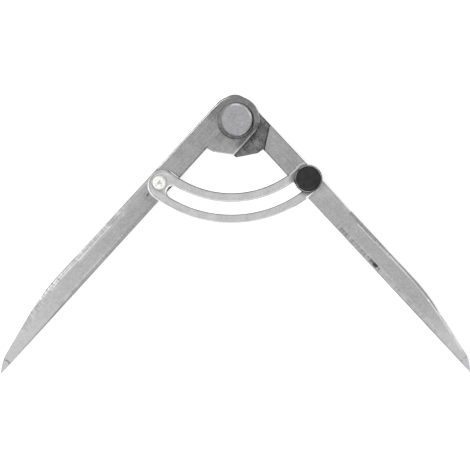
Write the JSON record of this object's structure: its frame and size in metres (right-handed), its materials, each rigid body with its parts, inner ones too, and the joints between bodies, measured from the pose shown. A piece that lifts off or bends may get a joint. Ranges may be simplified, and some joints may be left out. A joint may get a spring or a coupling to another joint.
{
  "type": "wing divider",
  "caption": "Wing divider with half-lap riveted legs, slotted arc and knurled clamp knob, spread flat on its back.",
  "frame": {"origin": "pivot axis where it meets the plane of the backs of the legs, at the centre of the flush rivet tail", "axes": "+X towards the clamp side across the spread points, +Y from the points towards the pivot head, +Z out of the front face with the knob"},
  "size_m": [0.2526, 0.15, 0.0157],
  "materials": {
    "ground_steel": "ground, fine cross grain",
    "sheet_steel": "satin sheet",
    "turned_steel": "turned, matt",
    "bright_steel": "bright plated",
    "dark_steel": "dark, oiled",
    "knurled_steel": "straight knurl",
    "black_plastic": "matt moulded"
  },
  "bodies": {
    "left_leg": {"left_leg": "ground_steel", "pivot_rivet": "turned_steel", "pivot_washer": "dark_steel", "wing_rivet": "bright_steel"},
    "right_leg": {"right_leg": "ground_steel"},
    "wing": {"wing": "sheet_steel"},
    "clamp_washer": {"clamp_washer": "turned_steel"},
    "clamp_knob": {"clamp_screw": "turned_steel", "knob": "knurled_steel", "knob_cap": "black_plastic"}
  },
  "joints": [
    {"name": "leg_hinge", "type": "hinge", "parent": "left_leg", "child": "right_leg", "pos_m": [0, 0, 0.003], "axis": [0, 0, -1], "range_deg": [0, 85.7]},
    {"name": "wing_swivel", "type": "hinge", "parent": "left_leg", "child": "wing", "pos_m": [-0.04046, -0.03311, 0.007], "axis": [0, 0, -1], "range_deg": [0, 6.2]},
    {"name": "clamp_lift", "type": "slide", "parent": "right_leg", "child": "clamp_washer", "axis": [0, 0, 1], "range_m": [0, 0.0014]},
    {"name": "knob_turn", "type": "hinge", "parent": "clamp_washer", "child": "clamp_knob", "pos_m": [0.03911, -0.03136, 0.012], "axis": [0, 0, 1], "range_deg": [0, 722]}
  ],
  "couplings": [
    {"joint": "wing_swivel", "follows": "leg_hinge", "ratio": 0.071179},
    {"joint": "knob_turn", "follows": "clamp_lift", "rad_per_m": 8976}
  ]
}
